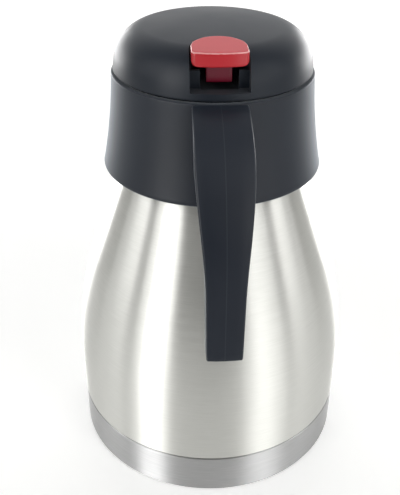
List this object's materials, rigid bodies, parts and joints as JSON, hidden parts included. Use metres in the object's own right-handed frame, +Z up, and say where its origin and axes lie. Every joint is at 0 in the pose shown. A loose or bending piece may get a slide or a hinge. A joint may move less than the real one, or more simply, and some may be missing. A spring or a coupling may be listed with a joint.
{
  "type": "thermal carafe",
  "caption": "Double-walled steel carafe with a flared collar, rear grip handle, pour spout and a screw-in dome lid with a press-to-pour thumb lever.",
  "frame": {"origin": "middle of the foot, on the surface the carafe stands on", "axes": "+Z up along the carafe's axis, handle towards -Y, spout towards +Y, +X to the right when seen from the handle"},
  "size_m": [0.1408, 0.1604, 0.221],
  "materials": {
    "body_steel": "fine horizontal brushing, satin",
    "liner_steel": "plain drawn stainless steel",
    "foot_steel": "coarser horizontal brushing, satin",
    "getter_metal": "matt sintered metal",
    "black_plastic": "fine matt moulded plastic with a soft sheen",
    "red_plastic": "semi-gloss moulded plastic",
    "grey_plastic": "plain moulded plastic",
    "silicone": "translucent white silicone rubber",
    "screw_steel": "plain stainless steel",
    "spring_steel": "drawn stainless spring wire"
  },
  "bodies": {
    "carafe": {"outer_shell": "body_steel", "inner_liner": "liner_steel", "vacuum_base_plate": "liner_steel", "getter": "getter_metal", "base_cup": "foot_steel", "collar": "black_plastic", "neck_ring": "black_plastic", "neck_seal": "silicone", "handle": "black_plastic", "handle_inner_cover": "black_plastic", "handle_screws": "screw_steel"},
    "gasket": {"stopper_gasket": "silicone"},
    "lid": {"stopper_body": "black_plastic", "valve_seat": "black_plastic", "rod_seal": "silicone", "lever_pin": "screw_steel", "lid_screws": "screw_steel", "lid_dome": "black_plastic"},
    "lever": {"thumb_lever": "red_plastic"},
    "valve": {"valve_rod": "screw_steel", "rod_cap": "grey_plastic", "valve_disc": "grey_plastic", "valve_seal": "silicone", "valve_spring": "spring_steel"}
  },
  "joints": [
    {"name": "lid_rise", "type": "slide", "parent": "carafe", "child": "gasket", "axis": [0, 0, 1], "range_m": [0, 0.0721]},
    {"name": "lid_turn", "type": "hinge", "parent": "gasket", "child": "lid", "pos_m": [0, 0, 0.18], "axis": [0, 0, 1], "range_deg": [0, 1080]},
    {"name": "lever_press", "type": "hinge", "parent": "lid", "child": "lever", "pos_m": [0, 0.028, 0.2075], "axis": [1, 0, 0], "range_deg": [0, 5], "stiffness_Nm_per_rad": 1, "springref_deg": -2.86},
    {"name": "valve_open", "type": "slide", "parent": "lid", "child": "valve", "axis": [0, 0, -1], "range_m": [0, 0.00245], "deforming": ["valve_spring"]}
  ],
  "couplings": [
    {"joint": "lid_rise", "follows": "lid_turn", "m_per_rad": 0.0038197},
    {"joint": "valve_open", "follows": "lever_press", "m_per_rad": 0.028}
  ]
}
